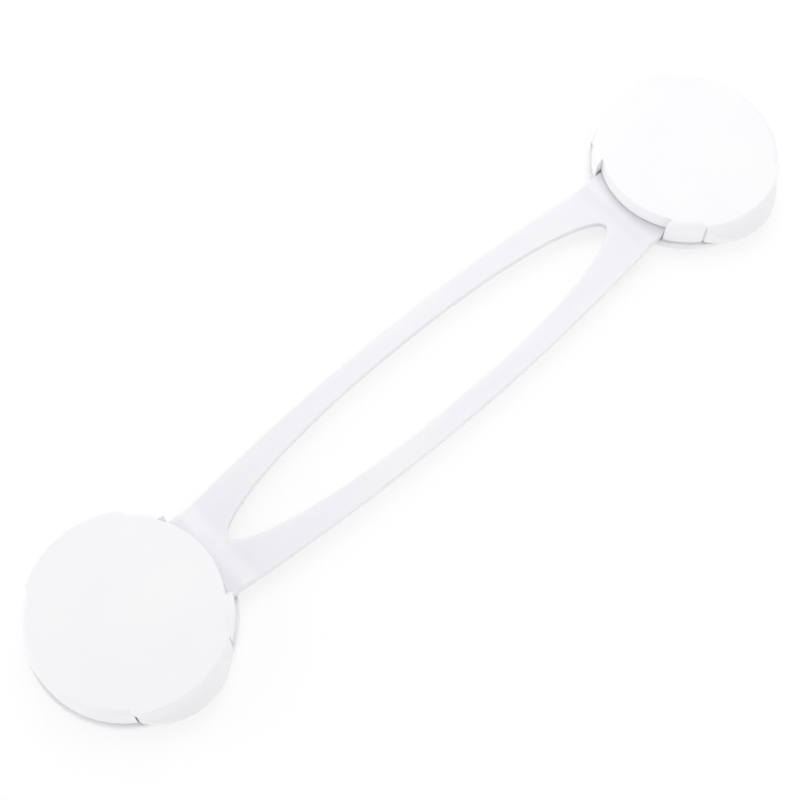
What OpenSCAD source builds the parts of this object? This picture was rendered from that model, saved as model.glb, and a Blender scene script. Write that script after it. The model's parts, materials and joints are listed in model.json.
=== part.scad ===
// Flexible strap lock for cabinet doors and drawers, in millimetres.
// Two round heads snap onto adhesive base plates, and a flat strap with a long almond opening joins them.
// Squeezing the two tabs of a head bends its latch springs inwards, so that the head lifts off its base.
// X runs along the strap, Y across it, Z up from the surface that the adhesive pads stick to.
// The origin lies midway between the heads, on the adhesive plane.

/* [Lock] */
// Distance between the centres of the two heads
head_spacing = 162; // [150:1:200]
// Inward travel of a squeeze tab
squeeze_travel = 1.6; // [1.3:0.1:1.8]

/* [Head] */
// Diameter of a head without its side lobes
head_d = 42; // [38:0.5:50]
// Height of the cap from the lower edge of its skirt
cap_h = 7.0; // [6.8:0.1:9]
// Thickness of the cap's top
cap_top_t = 1.6; // [1.4:0.1:2]
// Thickness of the cap's skirt
skirt_t = 1.8; // [1.4:0.1:2]
// Radius of the rounded edge round the cap's top
cap_edge_r = 1.4; // [0.6:0.1:1.5]
// How far the middle of a side lobe stands out of the round
lobe_rise = 0.5; // [0.4:0.1:1.2]
// How far the ends of a side lobe stand out of the round
lobe_step = 0.3; // [0.2:0.1:0.6]
// Half the angle that a side lobe covers, in degrees
lobe_half_angle = 34; // [30:1:35]
// Thickness of the cap's lip over a squeeze tab
lobe_lip_t = 1.0; // [0.8:0.1:1.2]

/* [Base] */
// Thickness of the adhesive foam pad
pad_t = 1.0; // [0.5:0.1:2]
// How far the pad's edge lies inside the base plate's edge
pad_inset = 2.4; // [1:0.1:4]
// Thickness of the base plate
base_t = 1.6; // [1.2:0.1:2.4]
// How far the base plate's edge stands out past the cap's edge
base_margin = 0.7; // [0:0.1:1]
// Thickness of a keeper's wall
keeper_t = 1.5; // [1:0.1:1.8]
// Width of a keeper along the strap, as a share of the head's diameter
keeper_w_share = 0.219; // [0.2:0.001:0.235]
// How far a keeper's lip reaches over the hook
keeper_lip = 1.0; // [0.8:0.1:1.2]

/* [Strap] */
// Width of the strap where it enters a head, as a share of the head's diameter
strap_end_share = 0.5; // [0.45:0.01:0.51]
// Width of the strap in the middle
strap_mid_w = 28; // [25:0.5:36]
// Thickness of the strap
strap_t = 1.6; // [1.2:0.1:1.8]
// Length of the almond opening
opening_l = 111; // [80:1:112]
// Width of the almond opening in the middle
opening_w = 17.8; // [10:0.2:18.4]
// Length of the ramp that rises to the strap's end block
ramp_l = 3; // [2:0.1:4]

/* [Squeeze tabs] */
// Thickness of a tab's outer wall
tab_wall = 1.8; // [1.4:0.1:2]
// Width of a tab's sliding plate, as a share of the head's diameter
tab_plate_share = 0.352; // [0.322:0.001:0.357]
// How far the foot of a tab's wall stands out past the middle of the lobe
tab_flare = 2.3; // [1:0.1:3]
// Radius of the finger dish in a tab's wall
tab_dish_r = 7; // [5:0.5:20]

/* [Latch springs] */
// Wall of the bowed ring of a latch spring
spring_wall = 0.8; // [0.6:0.1:1]
// Width of the bowed ring across the squeeze direction, as a share of the head's diameter
spring_w_share = 0.271; // [0.24:0.001:0.285]
// Width of the hook, as a share of the head's diameter
hook_w_share = 0.19; // [0.15:0.001:0.2]
// Thickness of the hook's leg
hook_t = 1.2; // [1:0.1:1.4]

/* [Retainer and screws] */
// Thickness of the retainer plate
retainer_t = 1.0; // [0.8:0.1:1.1]
// Outer diameter of a screw cup on the retainer
cup_d = 5.4; // [5:0.1:5.6]
// Half the distance between the two screws on one side, as a share of the head's diameter
screw_y_share = 0.133; // [0.12:0.001:0.138]
// Diameter of a screw's shank
screw_d = 2.0; // [1.8:0.1:2.2]
// Diameter of a screw's head
screw_head_d = 3.8; // [3.4:0.1:4]
// Height of a screw's head
screw_head_h = 1.2; // [1:0.1:1.3]

/* [Hidden] */
$fn = 96;
// Length that every cut runs past its solid
over = 1;
// Gap between the cap and the base plate, and under the strap's end block
seam_gap = 0.2;
// Running gap round the tabs and the latch springs
slide_gap = 0.3;
// Gap between a nested rim and what it locates
fit_gap = 0.3;
// Gap between faces of one body that seat on each other
seat_gap = 0.05;
// Radial gap of a screw in its hole and of a spring's eye on its peg
pin_gap = 0.04;

// Levels
base_z1 = pad_t + base_t;
cap_z0 = base_z1 + seam_gap;
cap_z1 = cap_z0 + cap_h;
ceiling_z = cap_z1 - cap_top_t;
lobe_lip_z = cap_z1 - lobe_lip_t;
retainer_rise = 0.4;
retainer_z0 = base_z1 + retainer_rise;
retainer_z1 = retainer_z0 + retainer_t;
keeper_rise = 1.6;
keeper_z1 = retainer_z1 + keeper_rise;
keeper_lip_z = retainer_z1;
tab_plate_z0 = keeper_z1 + slide_gap;
works_z1 = ceiling_z - slide_gap;
works_z0 = retainer_z1 + slide_gap;
tongue_t = 1.4;
tongue_z0 = retainer_z1 + seat_gap;
tongue_z1 = tongue_z0 + tongue_t;
boss_z0 = tongue_z1 + seat_gap;
strap_z0 = cap_z0;
strap_z1 = strap_z0 + strap_t;

// Round outlines of a head
head_r = head_d / 2;
base_r = head_r + base_margin;
face_r = head_r - cap_edge_r;
base_edge_r = 0.5;
cap_inner_r = head_r - skirt_t;
ring_r = cap_inner_r - fit_gap;
ring_t = 1.2;
ring_h = 1.1;
retainer_r = ring_r - ring_t - fit_gap;

// Side lobes: an arc through the lobe's two ends and its middle
lobe_end_r = head_r + lobe_step;
lobe_mid_y = head_r + lobe_rise;
lobe_half_w = lobe_end_r * sin(lobe_half_angle);
lobe_end_y = lobe_end_r * cos(lobe_half_angle);
lobe_axis_y = (lobe_end_r * lobe_end_r - lobe_mid_y * lobe_mid_y) / (2 * (lobe_end_y - lobe_mid_y));
lobe_r = lobe_mid_y - lobe_axis_y;
lobe_edge_r = 0.5;

// Squeeze tabs
tab_half_w = lobe_half_w - slide_gap;
tab_inset = 0.3;
tab_toe_h = 0.8;
tab_z0 = base_z1 + retainer_rise;
tab_z1 = lobe_lip_z - slide_gap;
tab_top_r = lobe_r - tab_inset;
tab_foot_r = lobe_r + tab_flare;
tab_y0 = lobe_end_y - tab_wall;
tab_ear_l = 1.5;
tab_end_flare = 0.3;
// Plan arc that thins the flare from the middle of a tab towards its two ends
tab_end_y = lobe_axis_y + sqrt(tab_top_r * tab_top_r - tab_half_w * tab_half_w) + tab_end_flare;
tab_plan_rise = lobe_axis_y + tab_foot_r - tab_end_y;
tab_plan_r = (tab_half_w * tab_half_w + tab_plan_rise * tab_plan_rise) / (2 * tab_plan_rise);
tab_plan_y = lobe_axis_y + tab_foot_r - tab_plan_r;
window_y0 = tab_y0 - squeeze_travel - slide_gap;
tab_plate_w = tab_plate_share * head_d;

// Keepers and hooks, from the tab's inner wall towards the centre
keeper_w = keeper_w_share * head_d;
keeper_y1 = window_y0 - fit_gap;
keeper_y0 = keeper_y1 - keeper_t;
keeper_edge_y = keeper_y0 - keeper_lip;
hook_w = hook_w_share * head_d;
hook_gap = 0.4;
hook_y1 = keeper_edge_y - hook_gap;
hook_y0 = hook_y1 - hook_t;
hook_z0 = base_z1 + slide_gap;
barb_gap = 0.2;
barb_y1 = keeper_y0 - slide_gap;
barb_z1 = keeper_lip_z - barb_gap;
barb_tip_h = 0.35;
tab_touch_gap = 0.15;
tab_plate_y0 = hook_y1 + tab_touch_gap;

// Latch springs
spring_w = spring_w_share * head_d;
peg_d = 2.4;
peg_y = 2.6;
eye_r = 2.2;
eye_y1 = peg_y + eye_r;
neck_w = 2.4;
bow_overlap = 0.2;
bow_y0 = eye_y1 - bow_overlap;
bow_y1 = hook_y0 + bow_overlap;
bow_r = (bow_y1 - bow_y0) / 2;
bow_y = (bow_y0 + bow_y1) / 2;

// Retainer, screws and what they hold
cup_r = cup_d / 2;
cup_wall_gap = 0.2;
screw_y = screw_y_share * head_d;
screw_circle_r = retainer_r - cup_r - cup_wall_gap;
screw_x = sqrt(screw_circle_r * screw_circle_r - screw_y * screw_y);
cup_floor_t = 0.9;
cup_bore_z1 = tongue_z1 - cup_floor_t;
screw_recess_w = 0.5;
screw_recess_l = 2.2;
screw_recess_h = 0.5;
anchor_hole_r = cup_r + fit_gap;
boss_margin = 0.7;
boss_r = anchor_hole_r + boss_margin;
retainer_x1 = screw_x + cup_r;
notch_y0 = hook_y0 - squeeze_travel - slide_gap;
notch_half_w = keeper_w / 2 + slide_gap;
retainer_setback = 1.0;
retainer_y1 = window_y0 - retainer_setback;
rail_w = 1.3;
rail_x1 = tab_plate_w / 2 - slide_gap;
tongue_margin = 0.5;
tongue_x0 = screw_x - anchor_hole_r - tongue_margin;
post_w = 1.7;
post_l = 1.8;
post_x0 = tab_plate_w / 2 + slide_gap;
post_x1 = post_x0 + post_w;
post_z1 = ceiling_z + cap_top_t / 2;
ear_x1 = post_x1 - slide_gap;
ear_y1 = tab_plate_y0 + tab_ear_l;
stop_y0 = ear_y1 + seat_gap;
guide_y1 = tab_plate_y0 - squeeze_travel - slide_gap;
rail_z1 = tab_plate_z0 - slide_gap / 2;

// Strap, in distances from the middle and from a head's centre
half_spacing = head_spacing / 2;
strap_end_w = strap_end_share * head_d;
strap_arc_x = half_spacing - head_r;
strap_swell = (strap_mid_w - strap_end_w) / 2;
strap_arc_r = (strap_arc_x * strap_arc_x + strap_swell * strap_swell) / (2 * strap_swell);
block_x0 = retainer_x1 + fit_gap;
block_x1 = head_r + fit_gap;
mouth_half_w = strap_end_w / 2 + fit_gap;
mouth_z1 = tongue_z1 + fit_gap;
mouth_wall_t = 1.2;
tongue_end_x = half_spacing - tongue_x0;
block_end_x = half_spacing - block_x0;
ramp_top_x = half_spacing - block_x1;
ramp_foot_x = ramp_top_x - ramp_l;
// Points round the almond opening, and the powers of its outline, where 1 and 1 give an ellipse
opening_points = 96;
opening_side_power = 0.935;
opening_tip_power = 1.12;
// Segments of the strap's very flat side arcs
arc_fn = 1440;

// Ends of the lock: -1 is head a, 1 is head b. Sides: -1 is the front, 1 is the back.
module at_head(end) {
    translate([end * half_spacing, 0, 0])
        rotate([0, 0, end < 0 ? 0 : 180])
            children();
}

module at_side(end, side) {
    translate([end * half_spacing, 0, 0])
        rotate([0, 0, side > 0 ? 0 : 180])
            children();
}

module on_both_sides() {
    for (turn = [0, 180])
        rotate([0, 0, turn])
            children();
}

module and_mirrored() {
    for (flip = [0, 1])
        mirror([flip, 0, 0])
            children();
}

module box(x0, x1, y0, y1, z0, z1) {
    translate([x0, y0, z0])
        cube([x1 - x0, y1 - y0, z1 - z0]);
}

// A disc with a rounded upper edge
module rounded_disc(r, z0, z1, edge_r) {
    rotate_extrude() {
        translate([0, z0]) square([r - edge_r, z1 - z0]);
        translate([0, z0]) square([r, z1 - z0 - edge_r]);
        translate([r - edge_r, z1 - edge_r]) circle(edge_r);
    }
}

module at_screws() {
    for (sx = [-1, 1], sy = [-1, 1])
        translate([sx * screw_x, sy * screw_y, 0])
            children();
}

// Adhesive pad: a plain foam disc
module adhesive_pad(end) {
    color("gainsboro") at_head(end)
        cylinder(r = base_r - pad_inset, h = pad_t);
}

// Base plate: disc, broken locating ring and two keepers that the hooks grip
module keeper_profile() {
    polygon([
        [keeper_y0, base_z1 - base_t / 2],
        [keeper_y1, base_z1 - base_t / 2],
        [keeper_y1, keeper_z1],
        [keeper_y0, keeper_z1],
        [keeper_edge_y, (keeper_z1 + keeper_lip_z) / 2],
        [keeper_edge_y, keeper_lip_z],
        [keeper_y0, keeper_lip_z]
    ]);
}

module keeper() {
    translate([-keeper_w / 2, 0, 0])
        rotate([90, 0, 90])
            linear_extrude(keeper_w)
                keeper_profile();
}

module locating_ring() {
    difference() {
        translate([0, 0, base_z1 - base_t / 2]) cylinder(r = ring_r, h = base_t / 2 + ring_h);
        cylinder(r = ring_r - ring_t, h = base_z1 + ring_h + over);
        box(0, head_r, -mouth_half_w - fit_gap, mouth_half_w + fit_gap, 0, base_z1 + ring_h + over);
        box(-lobe_half_w - fit_gap, lobe_half_w + fit_gap, -head_r, head_r, 0, base_z1 + ring_h + over);
    }
}

module base_plate(end) {
    color("whitesmoke") at_head(end) {
        translate([0, 0, base_z1 + pad_t])
            mirror([0, 0, 1])
                rounded_disc(base_r, pad_t, base_z1, base_edge_r);
        locating_ring();
        on_both_sides() keeper();
    }
}

// Cap: round shell with two lobed lips, windows for the tabs and a walled mouth for the strap
module lobe_lip() {
    intersection() {
        translate([0, lobe_axis_y, 0])
            rounded_disc(lobe_r, lobe_lip_z, cap_z1, lobe_edge_r);
        box(-lobe_half_w, lobe_half_w, cap_inner_r - head_r / 2, head_d, cap_z0, cap_z1 + over);
    }
}

// Over the mouth the rounded rim is cut back to the edge of the flat face
module mouth_rim_cut() {
    difference() {
        box(tongue_x0, head_d, -mouth_half_w, mouth_half_w, cap_z0, cap_z1 + over);
        cylinder(r = face_r, h = cap_z1 + 2 * over);
    }
}

// Wall under the edge of the flat face, which closes the mouth down to the strap
module mouth_wall() {
    intersection() {
        difference() {
            translate([0, 0, mouth_z1]) cylinder(r = face_r, h = ceiling_z - mouth_z1 + cap_top_t / 2);
            cylinder(r = face_r - mouth_wall_t, h = cap_z1);
        }
        box(tongue_x0, head_d, -mouth_half_w - skirt_t, mouth_half_w + skirt_t, cap_z0, cap_z1);
    }
}

module cap_shell() {
    difference() {
        union() {
            rounded_disc(head_r, cap_z0, cap_z1, cap_edge_r);
            on_both_sides() lobe_lip();
        }
        translate([0, 0, cap_z0 - over])
            cylinder(r = cap_inner_r, h = ceiling_z - cap_z0 + over);
        on_both_sides()
            box(-lobe_half_w, lobe_half_w, window_y0, head_d, cap_z0 - over, lobe_lip_z);
        box(tongue_x0, head_d, -mouth_half_w, mouth_half_w, cap_z0 - over, ceiling_z);
        mouth_rim_cut();
    }
}

module cap_boss() {
    difference() {
        translate([0, 0, boss_z0]) cylinder(r = boss_r, h = ceiling_z - boss_z0 + cap_top_t / 2);
        translate([0, 0, boss_z0 - over])
            cylinder(d = screw_d + 2 * pin_gap, h = ceiling_z - boss_z0 + over);
    }
}

module guide_posts() {
    and_mirrored() {
        box(post_x0, post_x1, stop_y0, stop_y0 + post_l, boss_z0, post_z1);
        box(post_x0, post_x1, guide_y1 - post_l, guide_y1, boss_z0, post_z1);
    }
}

module spring_peg() {
    translate([0, peg_y, works_z0])
        cylinder(d = peg_d, h = ceiling_z - works_z0 + cap_top_t / 2);
}

module cap(end) {
    color("white") at_head(end) {
        cap_shell();
        mouth_wall();
        at_screws() cap_boss();
        on_both_sides() {
            guide_posts();
            spring_peg();
        }
    }
}

// Retainer plate: closes the cap from below, clamps the strap's tongue and carries the tabs on rails
module retainer_outline() {
    difference() {
        intersection() {
            circle(retainer_r);
            translate([-retainer_r, -retainer_y1])
                square([retainer_r + retainer_x1, 2 * retainer_y1]);
        }
        for (turn = [0, 180])
            rotate(turn)
                translate([-notch_half_w, notch_y0])
                    square([2 * notch_half_w, head_r]);
    }
}

module tab_rails() {
    and_mirrored()
        box(rail_x1 - rail_w, rail_x1, bow_y1 + slide_gap, retainer_y1,
            retainer_z1 - retainer_t / 2, rail_z1);
}

module retainer_plate(end) {
    color("gainsboro") at_head(end) difference() {
        union() {
            translate([0, 0, retainer_z0]) linear_extrude(retainer_t) retainer_outline();
            on_both_sides() tab_rails();
            at_screws()
                translate([0, 0, retainer_z0]) cylinder(d = cup_d, h = tongue_z1 - retainer_z0);
        }
        at_screws() {
            translate([0, 0, retainer_z0 - over])
                cylinder(d = screw_head_d + 2 * fit_gap, h = cup_bore_z1 - retainer_z0 + over);
            translate([0, 0, retainer_z0])
                cylinder(d = screw_d + 2 * pin_gap, h = tongue_z1 - retainer_z0 + over);
        }
    }
}

// Four self-tapping screws with cross recesses
module retainer_screw() {
    difference() {
        union() {
            translate([0, 0, cup_bore_z1 - screw_head_h]) cylinder(d = screw_head_d, h = screw_head_h);
            translate([0, 0, cup_bore_z1 - screw_head_h])
                cylinder(d = screw_d, h = works_z1 - cup_bore_z1 + screw_head_h);
        }
        for (turn = [0, 90])
            rotate([0, 0, turn])
                box(-screw_recess_l / 2, screw_recess_l / 2, -screw_recess_w / 2, screw_recess_w / 2,
                    cup_bore_z1 - screw_head_h - over, cup_bore_z1 - screw_head_h + screw_recess_h);
    }
}

module retainer_screws(end) {
    color("silver") at_head(end) at_screws() retainer_screw();
}

// Squeeze tab: dished finger wall, sliding plate over the keeper, and ears that stop it
module tab_wall_profile() {
    dish_dx = tab_foot_r - tab_top_r;
    dish_dz = tab_z1 - tab_z0 - tab_toe_h;
    dish_chord = sqrt(dish_dx * dish_dx + dish_dz * dish_dz);
    dish_depth = sqrt(tab_dish_r * tab_dish_r - dish_chord * dish_chord / 4);
    dish_x = (tab_foot_r + tab_top_r) / 2 + dish_depth * dish_dz / dish_chord;
    dish_z = (tab_z0 + tab_toe_h + tab_z1) / 2 + dish_depth * dish_dx / dish_chord;
    difference() {
        translate([lobe_r - tab_wall, tab_z0])
            square([tab_foot_r - lobe_r + tab_wall, tab_z1 - tab_z0]);
        translate([dish_x, dish_z]) circle(tab_dish_r, $fn = 4 * $fn);
    }
}

module squeeze_tab(end, side) {
    color("white") at_side(end, side) {
        intersection() {
            translate([0, lobe_axis_y, 0]) rotate_extrude() tab_wall_profile();
            translate([0, tab_plan_y, tab_z0 - over])
                cylinder(r = tab_plan_r, h = tab_z1 - tab_z0 + 2 * over);
            box(-tab_half_w, tab_half_w, tab_y0, head_d, tab_z0 - over, tab_z1 + over);
        }
        intersection() {
            translate([0, lobe_axis_y, tab_z0]) cylinder(r = lobe_r - tab_wall / 2, h = tab_z1 - tab_z0);
            box(-tab_plate_w / 2, tab_plate_w / 2, tab_plate_y0, head_d, tab_plate_z0, works_z1);
        }
        box(-ear_x1, ear_x1, tab_plate_y0, ear_y1, tab_plate_z0, works_z1);
    }
}

// Latch spring: eye on the cap's peg, bowed ring, and a hook that grips the keeper
module bow(r) {
    bow_half_l = spring_w / 2 - bow_r;
    translate([-bow_half_l, -r]) square([2 * bow_half_l, 2 * r]);
    for (sx = [-1, 1])
        translate([sx * bow_half_l, 0]) circle(r);
}

module spring_outline() {
    difference() {
        union() {
            translate([0, peg_y]) circle(eye_r);
            translate([-neck_w / 2, peg_y]) square([neck_w, bow_y0 + spring_wall - peg_y]);
            translate([0, bow_y]) bow(bow_r);
            translate([-hook_w / 2, hook_y0]) square([hook_w, hook_t]);
        }
        translate([0, peg_y]) circle(d = peg_d + 2 * pin_gap);
        translate([0, bow_y]) bow(bow_r - spring_wall);
    }
}

module hook_profile() {
    polygon([
        [hook_y0, hook_z0],
        [hook_y1, hook_z0],
        [barb_y1, barb_z1 - barb_tip_h],
        [barb_y1, barb_z1],
        [hook_y1, barb_z1],
        [hook_y1, works_z1],
        [hook_y0, works_z1]
    ]);
}

module latch_spring(end, side) {
    color("ivory") at_side(end, side) {
        translate([0, 0, works_z0]) linear_extrude(works_z1 - works_z0) spring_outline();
        translate([-hook_w / 2, 0, 0]) rotate([90, 0, 90]) linear_extrude(hook_w) hook_profile();
    }
}

// Strap: plan outline with the almond opening, cut to a side profile with thick ends and tongues
function signed_power(v, power) = sign(v) * pow(abs(v), power);

function opening_point(turn) = [
    opening_l / 2 * signed_power(cos(turn), opening_side_power),
    opening_w / 2 * signed_power(sin(turn), opening_tip_power)
];

module strap_side_arc(side) {
    translate([0, side * (strap_mid_w / 2 - strap_arc_r)]) circle(strap_arc_r, $fn = arc_fn);
}

module strap_outline() {
    difference() {
        union() {
            translate([-tongue_end_x, -strap_end_w / 2])
                square([2 * tongue_end_x, strap_end_w]);
            intersection() {
                strap_side_arc(1);
                strap_side_arc(-1);
                translate([-block_end_x, -strap_mid_w])
                    square([2 * block_end_x, 2 * strap_mid_w]);
            }
        }
        polygon([for (i = [0 : opening_points - 1]) opening_point(360 * i / opening_points)]);
        for (sx = [-1, 1], sy = [-1, 1])
            translate([sx * (half_spacing - screw_x), sy * screw_y]) circle(anchor_hole_r);
    }
}

module strap_side_profile() {
    polygon([
        [-block_end_x, strap_z0],
        [block_end_x, strap_z0],
        [block_end_x, tongue_z0],
        [tongue_end_x, tongue_z0],
        [tongue_end_x, tongue_z1],
        [ramp_top_x, tongue_z1],
        [ramp_foot_x, strap_z1],
        [-ramp_foot_x, strap_z1],
        [-ramp_top_x, tongue_z1],
        [-tongue_end_x, tongue_z1],
        [-tongue_end_x, tongue_z0],
        [-block_end_x, tongue_z0]
    ]);
}

module strap() {
    color("aliceblue") intersection() {
        linear_extrude(cap_z1) strap_outline();
        translate([0, strap_mid_w, 0])
            rotate([90, 0, 0])
                linear_extrude(2 * strap_mid_w) strap_side_profile();
    }
}

strap();
adhesive_pad(-1);  // adhesive_pad_a
base_plate(-1);  // base_plate_a
cap(-1);  // cap_a
retainer_plate(-1);  // retainer_plate_a
retainer_screws(-1);  // retainer_screws_a
squeeze_tab(-1, -1);  // squeeze_tab_a_front
squeeze_tab(-1, 1);  // squeeze_tab_a_back
latch_spring(-1, -1);  // latch_spring_a_front
latch_spring(-1, 1);  // latch_spring_a_back
adhesive_pad(1);  // adhesive_pad_b
base_plate(1);  // base_plate_b
cap(1);  // cap_b
retainer_plate(1);  // retainer_plate_b
retainer_screws(1);  // retainer_screws_b
squeeze_tab(1, -1);  // squeeze_tab_b_front
squeeze_tab(1, 1);  // squeeze_tab_b_back
latch_spring(1, -1);  // latch_spring_b_front
latch_spring(1, 1);  // latch_spring_b_back
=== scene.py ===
"""Looks of a flexible strap lock for cabinet doors: two squeeze heads on adhesive bases and a flat strap.

Lengths are in metres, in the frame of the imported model. The moulded pieces keep their packed form and gain
rounded edges. Geometry nodes grow the strap, the screws and the foam pads.
"""

import json
import logging
import math
from dataclasses import dataclass
from enum import Enum
from typing import Any, Callable, Union

import bmesh
import bpy
from mathutils import Matrix, Vector
from mathutils.bvhtree import BVHTree
from mathutils.geometry import intersect_point_line


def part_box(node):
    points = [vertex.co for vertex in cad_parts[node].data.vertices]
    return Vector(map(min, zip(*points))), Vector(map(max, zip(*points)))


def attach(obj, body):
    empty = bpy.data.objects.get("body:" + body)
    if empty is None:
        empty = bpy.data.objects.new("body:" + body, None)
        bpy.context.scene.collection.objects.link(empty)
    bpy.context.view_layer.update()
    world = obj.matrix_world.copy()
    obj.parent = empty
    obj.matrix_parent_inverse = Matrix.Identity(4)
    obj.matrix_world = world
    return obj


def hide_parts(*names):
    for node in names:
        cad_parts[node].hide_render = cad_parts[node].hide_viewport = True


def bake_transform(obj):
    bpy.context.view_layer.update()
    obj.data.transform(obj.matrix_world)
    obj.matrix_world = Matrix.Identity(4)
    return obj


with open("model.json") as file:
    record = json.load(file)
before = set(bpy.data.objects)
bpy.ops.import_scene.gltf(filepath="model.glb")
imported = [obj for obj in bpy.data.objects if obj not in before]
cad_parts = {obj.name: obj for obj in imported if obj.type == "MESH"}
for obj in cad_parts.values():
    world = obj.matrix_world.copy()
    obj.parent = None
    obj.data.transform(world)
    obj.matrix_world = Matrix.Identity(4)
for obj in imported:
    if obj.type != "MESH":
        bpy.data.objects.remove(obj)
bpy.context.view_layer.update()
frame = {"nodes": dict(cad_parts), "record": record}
RECORD = frame["record"]
BODY_OF = {node: body for body, nodes in RECORD["behaviour"]["bodies"].items() for node in nodes}
LOG = logging.getLogger("strap_lock")
WELD = 2e-6
EDGE_STEPS = 3
FLAT_FACE_WEIGHT = 80
NOISE_MEAN = 0.5

Colour = tuple[float, float, float]
Size3 = tuple[float, float, float]
Span = tuple["Wire", "Wire"]
Value = Union["Wire", float]

WHITE: Colour = (1.0, 1.0, 1.0)


class End(Enum):
    """The two ends of the lock, by the letter in their node names."""

    A = "a"
    B = "b"


class Side(Enum):
    """The two squeezed sides of a head, by the word in their node names."""

    FRONT = "front"
    BACK = "back"


class Wire:
    """An output socket of a node. Arithmetic on it adds Math nodes."""

    def __init__(self, sheet: "NodeSheet", socket: bpy.types.NodeSocket) -> None:
        """Keeps the socket and the sheet that it is on."""
        self.sheet = sheet
        self.socket = socket

    def __add__(self, other: Value) -> "Wire":
        """Sum of two values."""
        return self.sheet.math("ADD", self, other)

    def __radd__(self, other: Value) -> "Wire":
        """Sum with a plain number on the left."""
        return self.sheet.math("ADD", other, self)

    def __sub__(self, other: Value) -> "Wire":
        """Difference of two values."""
        return self.sheet.math("SUBTRACT", self, other)

    def __rsub__(self, other: Value) -> "Wire":
        """Difference with a plain number on the left."""
        return self.sheet.math("SUBTRACT", other, self)

    def __mul__(self, other: Value) -> "Wire":
        """Product of two values."""
        return self.sheet.math("MULTIPLY", self, other)

    def __rmul__(self, other: Value) -> "Wire":
        """Product with a plain number on the left."""
        return self.sheet.math("MULTIPLY", other, self)

    def __truediv__(self, other: Value) -> "Wire":
        """Quotient of two values."""
        return self.sheet.math("DIVIDE", self, other)

    def __rtruediv__(self, other: Value) -> "Wire":
        """Quotient with a plain number on the left."""
        return self.sheet.math("DIVIDE", other, self)

    def __pow__(self, other: Value) -> "Wire":
        """Power of a value."""
        return self.sheet.math("POWER", self, other)

    def __rpow__(self, other: Value) -> "Wire":
        """Power of a plain number on the left."""
        return self.sheet.math("POWER", other, self)

    def __abs__(self) -> "Wire":
        """Size of a value without its sign."""
        return self.sheet.math("ABSOLUTE", self)


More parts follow.
